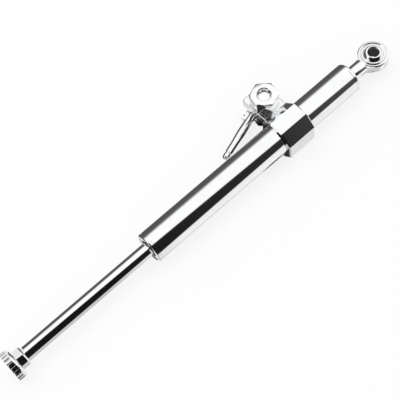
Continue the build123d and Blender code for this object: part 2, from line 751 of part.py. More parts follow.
# Grub screws that lock the clamp on the tube from below
grub_low = -clamp_low_z + grub_inset
grub_tip = -tube_d / 2 - run
with BuildPart() as clamp_grub_screws:
    with BuildSketch(Plane.XY.offset(grub_low)):
        with Locations(((clamp_low + clamp_high) / 2, 0)):
            with GridLocations(grub_spacing, 0, 2, 1):
                Circle(grub_d / 2)
    extrude(amount=grub_tip - grub_low)
    with BuildSketch(Plane.XY.offset(grub_low)):
        with Locations(((clamp_low + clamp_high) / 2, 0)):
            with GridLocations(grub_spacing, 0, 2, 1):
                RegularPolygon(grub_socket / 2, 6, major_radius=False)
    extrude(amount=grub_socket_depth, mode=Mode.SUBTRACT)
clamp_grub_screws.part.label = "clamp_grub_screws"
export_step(clamp_grub_screws.part, "parts/clamp_grub_screws.step")

# Flanged bushes, pressed into the ear from above and below
for end, side in (("upper", 1), ("lower", -1)):
    with BuildPart() as pivot_bush:
        with BuildSketch(Plane.XY.offset(side * fit)):
            with Locations((pivot_x, pivot_reach)):
                Circle(pivot_bush_d / 2 - fit)
        extrude(amount=side * (ear_thick / 2 - fit))
        with BuildSketch(Plane.XY.offset(side * ear_thick / 2)):
            with Locations((pivot_x, pivot_reach)):
                Circle(pivot_bush_flange_d / 2)
        extrude(amount=side * pivot_bush_flange)
        with BuildSketch(Plane.XY):
            with Locations((pivot_x, pivot_reach)):
                Circle(shoulder_d / 2)
        extrude(amount=side * ear_thick, mode=Mode.SUBTRACT)
    pivot_bush.part.label = f"{end}_pivot_bush"
    export_step(pivot_bush.part, f"parts/{end}_pivot_bush.step")

# Levels of the pivot's stack
nut_low = ear_thick / 2 + pivot_bush_flange + face_gap
hub_high = -nut_low
hub_low = hub_high - hub_thick
bolt_low = -clamp_low_z

# Pivot bolt: a thin head, a shoulder that turns in the bushes and a threaded end
with BuildPart() as pivot_bolt:
    with BuildSketch(Plane.XY.offset(bolt_low)):
        with Locations((pivot_x, pivot_reach)):
            Circle(hex_corner_r)
    extrude(amount=hub_low - bolt_low)
    chamfer(pivot_bolt.edges().group_by(Axis.Z)[0], length=hex_edge, length2=hex_edge * 2)
    with BuildSketch(Plane.XY.offset(bolt_low)):
        with Locations((pivot_x, pivot_reach)):
            RegularPolygon(hex_flats / 2, 6, major_radius=False, rotation=hex_turn)
    extrude(amount=hub_low - bolt_low, mode=Mode.INTERSECT)
    with BuildSketch(Plane.XY.offset(hub_low)):
        with Locations((pivot_x, pivot_reach)):
            Circle(shoulder_d / 2 - run)
    extrude(amount=nut_low - hub_low)
    with BuildSketch(Plane.XY.offset(nut_low)):
        with Locations((pivot_x, pivot_reach)):
            Circle(pivot_thread_d / 2)
    extrude(amount=nut_height - thread_recess)
    chamfer(pivot_bolt.edges().group_by(Axis.Z)[-1], length=pivot_thread_edge)
pivot_bolt.part.label = "pivot_bolt"
export_step(pivot_bolt.part, "parts/pivot_bolt.step")

# Pivot nut
with BuildPart() as pivot_nut:
    with BuildSketch(Plane.XY.offset(nut_low)):
        with Locations((pivot_x, pivot_reach)):
            Circle(hex_corner_r)
    extrude(amount=nut_height)
    for place in (0, -1):
        chamfer(pivot_nut.edges().group_by(Axis.Z)[place], length=hex_edge, length2=hex_edge * 2)
    with BuildSketch(Plane.XY.offset(nut_low)):
        with Locations((pivot_x, pivot_reach)):
            RegularPolygon(hex_flats / 2, 6, major_radius=False, rotation=hex_turn)
    extrude(amount=nut_height, mode=Mode.INTERSECT)
    with BuildSketch(Plane.XY.offset(nut_low)):
        with Locations((pivot_x, pivot_reach)):
            Circle(pivot_thread_d / 2 + fit)
    extrude(amount=nut_height, mode=Mode.SUBTRACT)
    thread_mouths = pivot_nut.edges().filter_by(GeomType.CIRCLE).filter_by(
        lambda e: e.radius < pivot_thread_d / 2 + 2 * fit
    )
    chamfer(thread_mouths, length=nut_mouth)
pivot_nut.part.label = "pivot_nut"
export_step(pivot_nut.part, "parts/pivot_nut.step")

# Stay arm: a hub on the pivot bolt, a round tapered arm with a clip groove near its tip, and
# a small eyelet at its root
stay_level = (hub_high + hub_low) / 2
stay_angle = radians(180 + stay_turn)
along = Vector(cos(stay_angle), sin(stay_angle), 0)
outward = Vector(sin(stay_angle), -cos(stay_angle), 0)
foot = Vector(pivot_x, pivot_reach, stay_level) + outward * stay_offset
stay_plane = Plane(origin=foot, x_dir=along, z_dir=(0, 0, 1))
tip_start = stay_length - stay_tip_length
tip_centre = stay_length - stay_tip_d / 2
groove_start = tip_start - stay_groove
pin_start = groove_start - stay_pin_length
root_x = hub_d / 2
belly = (root_x + pin_start) / 2
with BuildPart() as stay_arm:
    with BuildSketch(stay_plane):
        with BuildLine():
            Line((0, 0), (0, stay_waist_d / 2))
            Line((0, stay_waist_d / 2), (root_x, stay_waist_d / 2))
            Spline(
                (root_x, stay_waist_d / 2),
                (belly, stay_d / 2),
                (pin_start, stay_pin_d / 2),
                tangents=[(1, 0), (1, 0)],
            )
            Polyline(
                (pin_start, stay_pin_d / 2),
                (groove_start, stay_pin_d / 2),
                (groove_start, stay_groove_d / 2),
                (tip_start, stay_groove_d / 2),
                (tip_start, stay_tip_d / 2),
                (tip_centre, stay_tip_d / 2),
            )
            ThreePointArc(
                (tip_centre, stay_tip_d / 2),
                (tip_centre + stay_tip_d / 2 * cos(radians(45)), stay_tip_d / 2 * sin(radians(45))),
                (stay_length, 0),
            )
            Line((stay_length, 0), (0, 0))
        make_face()
    revolve(axis=Axis(foot, along))
    with BuildSketch(Plane.XY.offset(hub_low)):
        with Locations((pivot_x, pivot_reach)):
            Circle(hub_d / 2)
    extrude(amount=hub_thick)
    with BuildSketch(stay_plane.offset(-eyelet_thick / 2)):
        with Locations((eyelet_along, -eyelet_out)):
            Circle(eyelet_d / 2)
        with Locations((web_along, 0)):
            Circle(web_d / 2)
        with Locations((eyelet_along, 0)):
            Circle(eyelet_d / 2)
        make_hull()
    extrude(amount=eyelet_thick)
    with BuildSketch(stay_plane.offset(-eyelet_thick)):
        with Locations((eyelet_along, -eyelet_out)):
            Circle(eyelet_hole_d / 2)
    extrude(amount=2 * eyelet_thick, mode=Mode.SUBTRACT)
    with BuildSketch(Plane.XY.offset(hub_low)):
        with Locations((pivot_x, pivot_reach)):
            Circle(shoulder_d / 2)
    extrude(amount=hub_thick, mode=Mode.SUBTRACT)
stay_arm.part.label = "stay_arm"
export_step(stay_arm.part, "parts/stay_arm.step")
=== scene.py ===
"""A motorcycle steering damper: each piece's finish, a plain studio and the photograph's camera."""

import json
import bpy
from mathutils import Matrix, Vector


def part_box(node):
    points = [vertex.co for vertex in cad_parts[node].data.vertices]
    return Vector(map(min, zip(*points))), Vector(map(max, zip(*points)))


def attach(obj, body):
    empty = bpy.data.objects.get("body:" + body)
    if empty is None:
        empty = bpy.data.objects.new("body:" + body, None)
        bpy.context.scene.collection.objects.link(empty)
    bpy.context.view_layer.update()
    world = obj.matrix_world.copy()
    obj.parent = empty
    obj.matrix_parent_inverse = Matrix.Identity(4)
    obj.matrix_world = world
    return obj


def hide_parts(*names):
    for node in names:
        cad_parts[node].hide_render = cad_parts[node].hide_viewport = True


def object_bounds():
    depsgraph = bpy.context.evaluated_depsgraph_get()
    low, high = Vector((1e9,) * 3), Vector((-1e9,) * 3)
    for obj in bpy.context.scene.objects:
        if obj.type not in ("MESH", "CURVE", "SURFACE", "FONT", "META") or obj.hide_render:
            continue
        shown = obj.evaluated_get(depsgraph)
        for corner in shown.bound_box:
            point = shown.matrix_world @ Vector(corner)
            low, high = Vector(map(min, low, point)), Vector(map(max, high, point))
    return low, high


bl_info = {
    "name": "Steering Damper Look",
    "version": (1, 0, 0),
    "blender": (4, 5, 0),
    "location": "View3D > Sidebar > Damper",
    "description": "Finishes a polished steering damper and sets it in a plain white studio",
    "category": "Object",
}

from math import pi, radians

import bpy
from bpy.props import FloatProperty, FloatVectorProperty, PointerProperty
from mathutils import Matrix, Vector

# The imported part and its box. Every length below is in metres.
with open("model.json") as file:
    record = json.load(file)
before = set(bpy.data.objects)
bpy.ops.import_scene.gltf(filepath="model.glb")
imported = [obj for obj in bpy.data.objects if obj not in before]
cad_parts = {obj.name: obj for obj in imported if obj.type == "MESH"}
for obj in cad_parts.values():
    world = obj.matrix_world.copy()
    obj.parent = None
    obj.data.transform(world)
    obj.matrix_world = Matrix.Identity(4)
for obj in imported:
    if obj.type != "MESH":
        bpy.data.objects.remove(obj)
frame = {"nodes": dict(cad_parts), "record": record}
cad_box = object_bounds()


class DamperFinishSettings(bpy.types.PropertyGroup):
    chrome: FloatVectorProperty(
        name="Chrome",
        description="Colour of the chromed rod, rod end, knob, bolt, nut and stay arm",
        default=(0.93, 0.935, 0.94),
        subtype="COLOR",
        min=0.0,
        max=1.0,
    )
    aluminium: FloatVectorProperty(
        name="Aluminium",
        description="Colour of the polished tube, its caps and the clamp",
        default=(0.92, 0.925, 0.93),
        subtype="COLOR",
        min=0.0,
        max=1.0,
    )
    steel: FloatVectorProperty(
        name="Steel",
        description="Colour of ground and plated steel",
        default=(0.72, 0.73, 0.74),
        subtype="COLOR",
        min=0.0,
        max=1.0,
    )
    # This colour also paints the bolt's head dark under the ear, which is painted shade; the screws,
    # springs and rings are blackened steel
    blackened: FloatVectorProperty(
        name="Blackened steel",
        description="Colour of the blackened bolt head, screws, springs and rings",
        default=(0.035, 0.036, 0.04),
        subtype="COLOR",
        min=0.0,
        max=1.0,
    )
    bronze: FloatVectorProperty(
        name="Bronze",
        description="Colour of the sintered bushes",
        default=(0.55, 0.38, 0.2),
        subtype="COLOR",
        min=0.0,
        max=1.0,
    )
    line_pitch: FloatProperty(
        name="Line pitch",
        description="Distance between the fine lines that turning and polishing leave",
        default=0.00022,
        subtype="DISTANCE",
        unit="LENGTH",
    )
    line_depth: FloatProperty(
        name="Line depth",
        description="How deep those lines are",
        default=0.0000004,
        subtype="DISTANCE",
        unit="LENGTH",
    )


class DamperShapeSettings(bpy.types.PropertyGroup):
    edge_round: FloatProperty(
        name="Edge round",
        description="Rounding of the machined edges",
        default=0.00014,
        subtype="DISTANCE",
        unit="LENGTH",
    )
    forged_round: FloatProperty(
        name="Forged round",
        description="Rounding of the rod end, and twice that of the stay arm's edges",
        default=0.0007,
        subtype="DISTANCE",
        unit="LENGTH",
    )
    thread_pitch: FloatProperty(
        name="Thread pitch",
        description="Pitch of the thread inside the pivot nut",
        default=0.00125,
        subtype="DISTANCE",
        unit="LENGTH",
    )


class DamperStageSettings(bpy.types.PropertyGroup):
    camera_place: FloatVectorProperty(
        name="Camera place",
        description="Where the camera stands, from the rod end's ball",
        default=(-0.313923, -0.244981, 0.579872),
        subtype="TRANSLATION",
        unit="LENGTH",
    )
    camera_aim: FloatVectorProperty(
        name="Camera aim",
        description="The point that the middle of the picture shows",
        default=(-0.162685, 0.0, 0.005181),
        subtype="TRANSLATION",
        unit="LENGTH",
    )
    camera_roll: FloatProperty(
        name="Camera roll",
        description="How far the camera is turned about its line of sight",
        default=-0.203571,
        subtype="ANGLE",
        unit="ROTATION",
    )
    camera_lens: FloatProperty(
        name="Camera lens",
        description="Focal length on a sensor 36 mm wide",
        default=88.2196,
        subtype="DISTANCE_CAMERA",
    )
    floor_colour: FloatVectorProperty(
        name="Floor colour",
        description="Colour of the floor and of what lies behind it",
        default=(0.955, 0.955, 0.955),
        subtype="COLOR",
        min=0.0,
        max=1.0,
    )
    floor_white: FloatProperty(
        name="Floor white",
        description="Share of plain white that the camera sees in the floor, which lightens the shadow",
        default=0.8,
        min=0.0,
        max=1.0,
        subtype="FACTOR",
    )
    surround_strength: FloatProperty(
        name="Surround strength",
        description="Strength of the even white light from all round",
        default=0.8,
        min=0.0,
    )
    softbox_strength: FloatProperty(
        name="Softbox strength",
        description="Power of the soft lamp overhead",
        default=3.0,
        min=0.0,
        subtype="POWER",
        unit="POWER",
    )


def select_only(piece):
    bpy.ops.object.select_all(action="DESELECT")
    piece.select_set(True)
    bpy.context.view_layer.objects.active = piece


# Helpers for shader nodes

def bare_tree(owner, output_type):
    """Empties a material or a world but for an output; gives its tree and that output's surface."""
    owner.use_nodes = True
    tree = owner.node_tree
    for node in list(tree.nodes):
        tree.nodes.remove(node)
    return tree, tree.nodes.new(output_type).inputs["Surface"]


def put(tree, value, socket):
    """Links another node's socket to an input, or sets the input to a plain value."""
    if isinstance(value, bpy.types.NodeSocket):
        tree.links.new(value, socket)
    else:
        socket.default_value = value


def math(tree, operation, *values):
    """A Math node whose inputs are sockets or numbers; gives its output."""
    node = tree.nodes.new("ShaderNodeMath")
    node.operation = operation
    for socket, value in zip(node.inputs, values):
        put(tree, value, socket)
    return node.outputs[0]


def ramp_up(tree, value, low, high, start=0.0, end=1.0, smooth=True):
    """A step from start to end as the value goes from low to high, smooth or straight."""
    node = tree.nodes.new("ShaderNodeMapRange")
    node.interpolation_type = "SMOOTHSTEP" if smooth else "LINEAR"
    node.inputs["From Min"].default_value = low
    node.inputs["From Max"].default_value = high
    node.inputs["To Min"].default_value = start
    node.inputs["To Max"].default_value = end
    tree.links.new(value, node.inputs["Value"])
    return node.outputs["Result"]


def split_xyz(tree, vector):
    node = tree.nodes.new("ShaderNodeSeparateXYZ")
    tree.links.new(vector, node.inputs[0])
    return node.outputs


def noise(tree, vector, scale, detail, distortion=0.0):
    node = tree.nodes.new("ShaderNodeTexNoise")
    node.inputs["Scale"].default_value = scale
    node.inputs["Detail"].default_value = detail
    node.inputs["Distortion"].default_value = distortion
    tree.links.new(vector, node.inputs["Vector"])
    return node.outputs["Fac"]


def mix_values(tree, factor, start, end, kind="RGBA"):
    """A Mix node for colours, or for numbers where kind is FLOAT; gives its output."""
    node = tree.nodes.new("ShaderNodeMix")
    node.data_type = kind
    tree.links.new(factor, node.inputs["Factor"])
    put(tree, start, node.inputs["A"])
    put(tree, end, node.inputs["B"])
    return node.outputs["Result"]


def mix_shaders(tree, factor, first, second):
    node = tree.nodes.new("ShaderNodeMixShader")
    for socket, source in zip(node.inputs, (factor, first, second)):
        tree.links.new(source, socket)
    return node.outputs[0]


# Shader node groups

# How often a turned line changes along a metre of its length
LINE_DRIFT = 90.0
# How many smudges and scuffs there are to a metre, between which levels of the noise they fade in,
# and their shares of the whole
SMUDGE_SCALE = 70.0
SMUDGE_LEVELS = (0.42, 0.72)
SMUDGE_SHARE = 0.75
SCUFF_SCALE = 1400.0
SCUFF_LEVELS = (0.6, 0.78)
SCUFF_SHARE = 0.25
# How many clouds there are to a metre of grain, and between which levels it turns from dark to light
CLOUD_SCALE = 260.0
GRAIN_LEVELS = (0.05, 0.45)


def start_group(name, inputs, outputs):
    """A node group; gives it, the sockets that it is given and the sockets of its results."""
    group = bpy.data.node_groups.new(name, "ShaderNodeTree")
    for way, sockets in (("INPUT", inputs), ("OUTPUT", outputs)):
        for label, kind in sockets.items():
            group.interface.new_socket(label, in_out=way, socket_type="NodeSocket" + kind)
    entry = group.nodes.new("NodeGroupInput")
    leave = group.nodes.new("NodeGroupOutput")
    return group, entry.outputs, leave.inputs


def turned_lines_group():
    """Fine lines across X, as turning, grinding and polishing leave."""
    group, given, result = start_group(
        "turned_lines", {"Vector": "Vector", "Pitch": "Float"}, {"Height": "Float"}
    )
    split = split_xyz(group, given["Vector"])
    join = group.nodes.new("ShaderNodeCombineXYZ")
    put(group, math(group, "DIVIDE", split["X"], given["Pitch"]), join.inputs["X"])
    for axis in "YZ":
        put(group, math(group, "MULTIPLY", split[axis], LINE_DRIFT), join.inputs[axis])
    put(group, noise(group, join.outputs[0], 1.0, detail=3.0), result["Height"])
    return group


def handling_group():
    """Faint smudges and fine scuffs from handling, as a roughness and a mask."""
    group, given, result = start_group(
        "handling",
        {"Vector": "Vector", "Clean": "Float", "Smudged": "Float"},
        {"Roughness": "Float", "Mask": "Float"},
    )
    broad = noise(group, given["Vector"], SMUDGE_SCALE, detail=4.0, distortion=0.6)
    fine = noise(group, given["Vector"], SCUFF_SCALE, detail=2.0)
    smudges = math(group, "MULTIPLY", ramp_up(group, broad, *SMUDGE_LEVELS), SMUDGE_SHARE)
    scuffs = math(group, "MULTIPLY", ramp_up(group, fine, *SCUFF_LEVELS), SCUFF_SHARE)
    mask = math(group, "ADD", smudges, scuffs)
    put(group, mix_values(group, mask, given["Clean"], given["Smudged"], "FLOAT"), result["Roughness"])
    put(group, mask, result["Mask"])
    return group


def grain_group():
    """Fine even grain, as on sintered bronze, rubber and blackened steel."""
    group, given, result = start_group(
        "grain",
        {"Vector": "Vector", "Size": "Float", "Dark": "Color", "Light": "Color"},
        {"Color": "Color", "Height": "Float"},
    )
    pores = group.nodes.new("ShaderNodeTexVoronoi")
    put(group, math(group, "DIVIDE", 1.0, given["Size"]), pores.inputs["Scale"])
    put(group, given["Vector"], pores.inputs["Vector"])
    depth = pores.outputs["Distance"]
    cloud = noise(group, given["Vector"], CLOUD_SCALE, detail=3.0)
    level = ramp_up(group, math(group, "MULTIPLY", depth, cloud), *GRAIN_LEVELS)
    put(group, mix_values(group, level, given["Dark"], given["Light"]), result["Color"])
    put(group, depth, result["Height"])
    return group


def place_group(tree, group, vector, **values):
    node = tree.nodes.new("ShaderNodeGroup")
    node.node_tree = group
    tree.links.new(vector, node.inputs["Vector"])
    for name, value in values.items():
        node.inputs[name].default_value = value
    return node


# Materials

# A metal's colour where it is smudged, as a share of its clean colour
SMUDGE_TONE = 0.93
# The ear begins across this strip of Y, and is this much rougher than the clamp's flats
EAR_STARTS = (0.0139, 0.0143)
EAR_ROUGHNESS = 0.25
# The bolt is painted dark and rougher below this height, which takes in its head: this is painted
# shade under the ear, where the hub and tube shade it. The tone changes within this distance of it
BOLT_SHADE_BELOW = -0.0088
BOLT_SHADE_EDGE = 0.0002
BOLT_SHADE_ROUGHNESS = 0.38
# How deep the grain is, and how strongly it shows
GRAIN_DEPTH = 0.00001
GRAIN_STRENGTH = 0.6
# The colour of the bronze's pores, as a share of its surface's
BRONZE_PORES = 0.6


def start_material(name):
    material = bpy.data.materials.new(name)
    material.use_nodes = True
    tree = material.node_tree
    where = tree.nodes.new("ShaderNodeTexCoord")
    return material, tree, tree.nodes["Principled BSDF"], where.outputs["Object"]


def add_bump(tree, shader, height, distance, strength=1.0):
    bump = tree.nodes.new("ShaderNodeBump")
    bump.inputs["Strength"].default_value = strength
    bump.inputs["Distance"].default_value = distance
    tree.links.new(height, bump.inputs["Height"])
    tree.links.new(bump.outputs["Normal"], shader.inputs["Normal"])


def ear_satin(tree, where):
    """The extra roughness of the clamp's ear, which is machined but not buffed like the flats."""
    return ramp_up(tree, split_xyz(tree, where)["Y"], *EAR_STARTS, 0.0, EAR_ROUGHNESS)


def bright_metal(name, colour, clean, smudged, settings, groups, depth=1.0, axis="X", satin=None):
    """A polished metal with fine turned lines and faint smudges.

    Clean and smudged are its roughness in those places, and satin adds to it.
    """
    material, tree, shader, where = start_material(name)
    shader.inputs["Metallic"].default_value = 1.0
    handling = place_group(tree, groups["handling"], where, Clean=clean, Smudged=smudged)
    rough = handling.outputs["Roughness"]
    if satin:
        rough = math(tree, "ADD", rough, satin(tree, where))
    put(tree, rough, shader.inputs["Roughness"])
    dull = (*(SMUDGE_TONE * part for part in colour), 1.0)
    tint = mix_values(tree, handling.outputs["Mask"], (*colour, 1.0), dull)
    put(tree, tint, shader.inputs["Base Color"])
    if axis == "Z":
        turn = tree.nodes.new("ShaderNodeMapping")
        turn.inputs["Rotation"].default_value = (0.0, pi / 2, 0.0)
        put(tree, where, turn.inputs["Vector"])
        where = turn.outputs["Vector"]
    lines = place_group(tree, groups["turned_lines"], where, Pitch=settings.line_pitch)
    add_bump(tree, shader, lines.outputs["Height"], settings.line_depth * depth)
    return material


def painted_shade_below(material, black, height):
    """The bright metal that it is given, painted dark and rougher below a height as painted shade."""
    tree = material.node_tree
    shader = tree.nodes["Principled BSDF"]
    where = next(node for node in tree.nodes if node.type == "TEX_COORD").outputs["Object"]
    edge = (height - BOLT_SHADE_EDGE, height + BOLT_SHADE_EDGE)
    mask = ramp_up(tree, split_xyz(tree, where)["Z"], *edge, 1.0, 0.0)
    changes = (
        ("Base Color", (*black, 1.0), "RGBA"),
        ("Roughness", BOLT_SHADE_ROUGHNESS, "FLOAT"),
    )
    for label, value, kind in changes:
        socket = shader.inputs[label]
        put(tree, mix_values(tree, mask, socket.links[0].from_socket, value, kind), socket)
    return material


def grained(name, dark, light, groups, size, roughness, metallic=0.0):
    """A dull material with a fine grain."""
    material, tree, shader, where = start_material(name)
    shader.inputs["Metallic"].default_value = metallic
    shader.inputs["Roughness"].default_value = roughness
    grain = place_group(tree, groups["grain"], where, Size=size, Dark=(*dark, 1.0), Light=(*light, 1.0))
    put(tree, grain.outputs["Color"], shader.inputs["Base Color"])
    add_bump(tree, shader, grain.outputs["Height"], GRAIN_DEPTH, GRAIN_STRENGTH)
    return material


def make_materials(settings):
    groups = {
        "turned_lines": turned_lines_group(),
        "handling": handling_group(),
        "grain": grain_group(),
    }
    chrome, aluminium, steel = settings.chrome, settings.aluminium, settings.steel
    black, bronze = settings.blackened, settings.bronze
    bolt = bright_metal("bolt_steel", chrome, 0.06, 0.12, settings, groups)
    return {
        "tube": bright_metal("polished_tube", aluminium, 0.03, 0.07, settings, groups),
        "clamp": bright_metal("polished_clamp", aluminium, 0.035, 0.07, settings, groups, satin=ear_satin),
        "caps": bright_metal("turned_caps", aluminium, 0.12, 0.2, settings, groups, depth=3.0),
        "rod": bright_metal("hard_chrome_rod", chrome, 0.02, 0.05, settings, groups, depth=0.5),
        "plate": bright_metal("chrome_plate", chrome, 0.04, 0.08, settings, groups),
        "arm": bright_metal("chromed_arm", chrome, 0.1, 0.16, settings, groups),
        "nut": bright_metal("chromed_nut", chrome, 0.05, 0.1, settings, groups, axis="Z"),
        "steel": bright_metal("ground_steel", steel, 0.08, 0.16, settings, groups),
        "ball": bright_metal("ball_steel", chrome, 0.04, 0.08, settings, groups, axis="Z"),
        # The bolt's head is painted dark below the ear, as painted shade
        "bolt": painted_shade_below(bolt, black, BOLT_SHADE_BELOW),
        "spring": grained(
            "blackened_steel", black, (0.09, 0.09, 0.095), groups,
            size=0.00012, roughness=0.42, metallic=1.0,
        ),
        "bronze": grained(
            "sintered_bronze", tuple(BRONZE_PORES * part for part in bronze), bronze, groups,
            size=0.00018, roughness=0.45, metallic=1.0,
        ),
        "rubber": grained(
            "nitrile_rubber", (0.012, 0.012, 0.013), (0.03, 0.03, 0.032), groups,
            size=0.00016, roughness=0.6,
        ),
        "plastic": grained(
            "filled_plastic", (0.4, 0.37, 0.32), (0.5, 0.48, 0.42), groups,
            size=0.0002, roughness=0.5,
        ),
    }


SLOT_FINISH = {
    "polished_aluminium": "caps",
    "hard_chrome": "rod",
    "chrome_plate": "plate",
    "plated_steel": "steel",
    "ground_steel": "steel",
    "spring_steel": "spring",
    "bronze": "bronze",
    "seal_rubber": "rubber",
    "bearing_plastic": "plastic",
}
# The nodes whose finish is not that of their slot
NODE_FINISH = {
    "body_tube": "tube",
    "clamp_collar": "clamp",
    "rod_end_ball": "ball",
    "rod_end_liner": "plate",
    "rod_end_housing": "arm",
    "pivot_bolt": "bolt",
    "pivot_nut": "nut",
    "stay_arm": "arm",
}
# The name of each finish's material, filled in as the finishes are made
MATERIAL_NAMES = {}


def slot_of(name):
    return next(part["material_slot"] for part in frame["record"]["subparts"] if part["node"] == name)


def body_of(name):
    return next(body for body, nodes in frame["record"]["behaviour"]["bodies"].items() if name in nodes)


def dress(piece, name):
    """Gives a piece the finish of the node that it stands for."""
    key = NODE_FINISH.get(name) or SLOT_FINISH[slot_of(name)]
    piece.data.materials.clear()
    piece.data.materials.append(bpy.data.materials[MATERIAL_NAMES[key]])


class DAMPER_OT_finishes(bpy.types.Operator):
    """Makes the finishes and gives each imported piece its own"""

    bl_idname = "damper.finishes"
    bl_label = "Finishes"

    def execute(self, context):
        for key, material in make_materials(context.scene.damper_finish).items():
            MATERIAL_NAMES[key] = material.name
        for name, node in frame["nodes"].items():
            dress(node, name)
        return {"FINISHED"}


# Pieces with rounded edges

# Corners nearer than this are merged, and faces that meet within this angle are joined
MERGE_WITHIN = 0.000002
JOIN_WITHIN = radians(1.0)
# Edges sharper than the first angle are rounded, and what is then sharper than the second isn't
# smoothed over
ROUND_FROM = radians(28.0)
CRISP_FROM = radians(30.0)
# How strongly the larger faces at a corner lead its shading, where 50 is evenly and 100 the most
FLAT_WEIGHT = 90


def soft_copy(name, width, segments=2, flat=True):
    """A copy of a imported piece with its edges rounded, which takes the piece's place.

    Flat sides are kept flat in the shading, unless flat is False.
    """
    piece = bpy.data.objects.new(name + "_finished", frame["nodes"][name].data.copy())
    bpy.context.scene.collection.objects.link(piece)
    select_only(piece)
    bpy.ops.object.mode_set(mode="EDIT")
    bpy.ops.mesh.select_all(action="SELECT")
    bpy.ops.mesh.remove_doubles(threshold=MERGE_WITHIN)
    bpy.ops.mesh.dissolve_limited(angle_limit=JOIN_WITHIN)
    bpy.ops.object.mode_set(mode="OBJECT")
    bevel = piece.modifiers.new("soft_edges", "BEVEL")
    bevel.width = width
    bevel.segments = segments
    bevel.limit_method = "ANGLE"
    bevel.angle_limit = ROUND_FROM
    bevel.use_clamp_overlap = True
    bpy.ops.object.modifier_apply(modifier="soft_edges")
    bpy.ops.object.shade_smooth_by_angle(angle=CRISP_FROM)
    if flat:
        flats = piece.modifiers.new("flat_sides", "WEIGHTED_NORMAL")
        flats.keep_sharp = True
        flats.weight = FLAT_WEIGHT
        bpy.ops.object.modifier_apply(modifier="flat_sides")
    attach(piece, body_of(name))
    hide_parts(name)
    dress(piece, name)


class DAMPER_OT_machined(bpy.types.Operator):
    """Rounds the edges of the clamp, knob, gland, bolt, liner, ball and nut"""

    bl_idname = "damper.machined"
    bl_label = "Machined Pieces"

    def execute(self, context):
        width = context.scene.damper_shape.edge_round
        for name in ("clamp_collar", "adjuster_knob", "adjuster_gland", "knob_cap", "pivot_bolt"):
            soft_copy(name, width)
        for name in ("rod_end_liner", "rod_end_ball"):
            soft_copy(name, 2.0 * width, segments=3)
        soft_copy("pivot_nut", 2.0 * width, segments=3, flat=False)
        return {"FINISHED"}


class DAMPER_OT_forged(bpy.types.Operator):
    """Blends the rod end's neck into its head and the stay arm into its hub"""

    bl_idname = "damper.forged"
    bl_label = "Forged Pieces"

    def execute(self, context):
        width = context.scene.damper_shape.forged_round
        soft_copy("rod_end_housing", width, segments=4, flat=False)
        soft_copy("stay_arm", 0.5 * width, segments=3)
        return {"FINISHED"}


# The thread in the nut

# The ridges start this far below the bolt's end and stop this far below the nut's top
THREAD_START = 0.0004
THREAD_STOP = 0.0006
# Their outer radius, their depth, the sides of a ring and the angle from which an edge is crisp
THREAD_RADIUS = 0.00474
THREAD_DEPTH = 0.00035
THREAD_SIDES = 64
THREAD_CRISP_FROM = radians(25.0)


def ridged_sleeve(name, middle, low, high, pitch):
    """A thread's ridges in a bore, drawn up from a ring by extruding and scaling it."""
    x, y = middle
    bpy.ops.object.select_all(action="DESELECT")
    bpy.ops.mesh.primitive_circle_add(vertices=THREAD_SIDES, radius=THREAD_RADIUS, location=(x, y, low))
    piece = bpy.context.object
    piece.name = name
    bpy.ops.object.mode_set(mode="EDIT")
    bpy.ops.mesh.select_all(action="SELECT")
    steps = max(2, int((high - low) / (pitch / 2)))
    tall = (high - low) / steps
    outer, inner = THREAD_RADIUS, THREAD_RADIUS - THREAD_DEPTH
    for step in range(steps):
        bpy.ops.mesh.extrude_region_move(TRANSFORM_OT_translate={"value": (0.0, 0.0, tall)})
        ratio = inner / outer if step % 2 == 0 else outer / inner
        centre = (x, y, low + (step + 1) * tall)
        bpy.ops.transform.resize(value=(ratio, ratio, 1.0), center_override=centre)
    bpy.ops.mesh.select_all(action="SELECT")
    bpy.ops.mesh.normals_make_consistent(inside=True)
    bpy.ops.object.mode_set(mode="OBJECT")
    bpy.ops.object.transform_apply(location=True, rotation=True, scale=True)
    bpy.ops.object.shade_smooth_by_angle(angle=THREAD_CRISP_FROM)
    return piece


class DAMPER_OT_thread(bpy.types.Operator):
    """Adds the ridges of the thread that shows inside the pivot nut"""

    bl_idname = "damper.thread"
    bl_label = "Pivot Thread"

    def execute(self, context):
        pitch = context.scene.damper_shape.thread_pitch
        low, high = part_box("pivot_nut")
        middle = ((low[0] + high[0]) / 2, (low[1] + high[1]) / 2)
        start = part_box("pivot_bolt")[1][2] - THREAD_START
        stop = high[2] - THREAD_STOP
        piece = ridged_sleeve("nut_thread", middle, start, stop, pitch)
        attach(piece, "pivot")
        piece.data.materials.append(bpy.data.materials[MATERIAL_NAMES["nut"]])
        return {"FINISHED"}


# The stage

# The width of the camera's sensor in millimetres, and the picture's shift as shares of its width
SENSOR_WIDTH = 36.0
CAMERA_SHIFT = (-0.001, 0.00115)
CLIP_START = 0.01
# The middle of the damper, about which the floor lies and at which the lamp points
MIDDLE = (-0.16, 0.0, 0.0)
# How wide the floor is, and how far it lies below the damper
FLOOR_SIZE = 6.0
FLOOR_GAP = 0.0002
# Painted shade on the floor: places that bright metal sees painted dark, where the damper stands over
# them. Their X and Y, the radius within which they are fully dark and the one at which they end
PAINTED_SHADE_PLACES = (
    (-0.1, 0.012, 0.013, 0.022),
    (-0.102, -0.006, 0.007, 0.014),
    (0.0, 0.0, 0.008, 0.016),
)
PAINTED_SHADE_COLOUR = (0.03, 0.03, 0.032, 1.0)
# The middle of the end card, its width and height, and its strength
END_CARD_PLACE = (-0.3555, 0.016, 0.0263)
END_CARD_SIZE = (0.09, 0.08)
END_CARD_STRENGTH = 0.9
SOFTBOX_PLACE = (-0.25, 0.2, 0.9)
SOFTBOX_SIZE = 0.8
# The tone that the camera sees beyond the floor, and the strength of what bright metal sees
BACKDROP_TONE = 0.98
GLOSSY_STRENGTH = 1.07
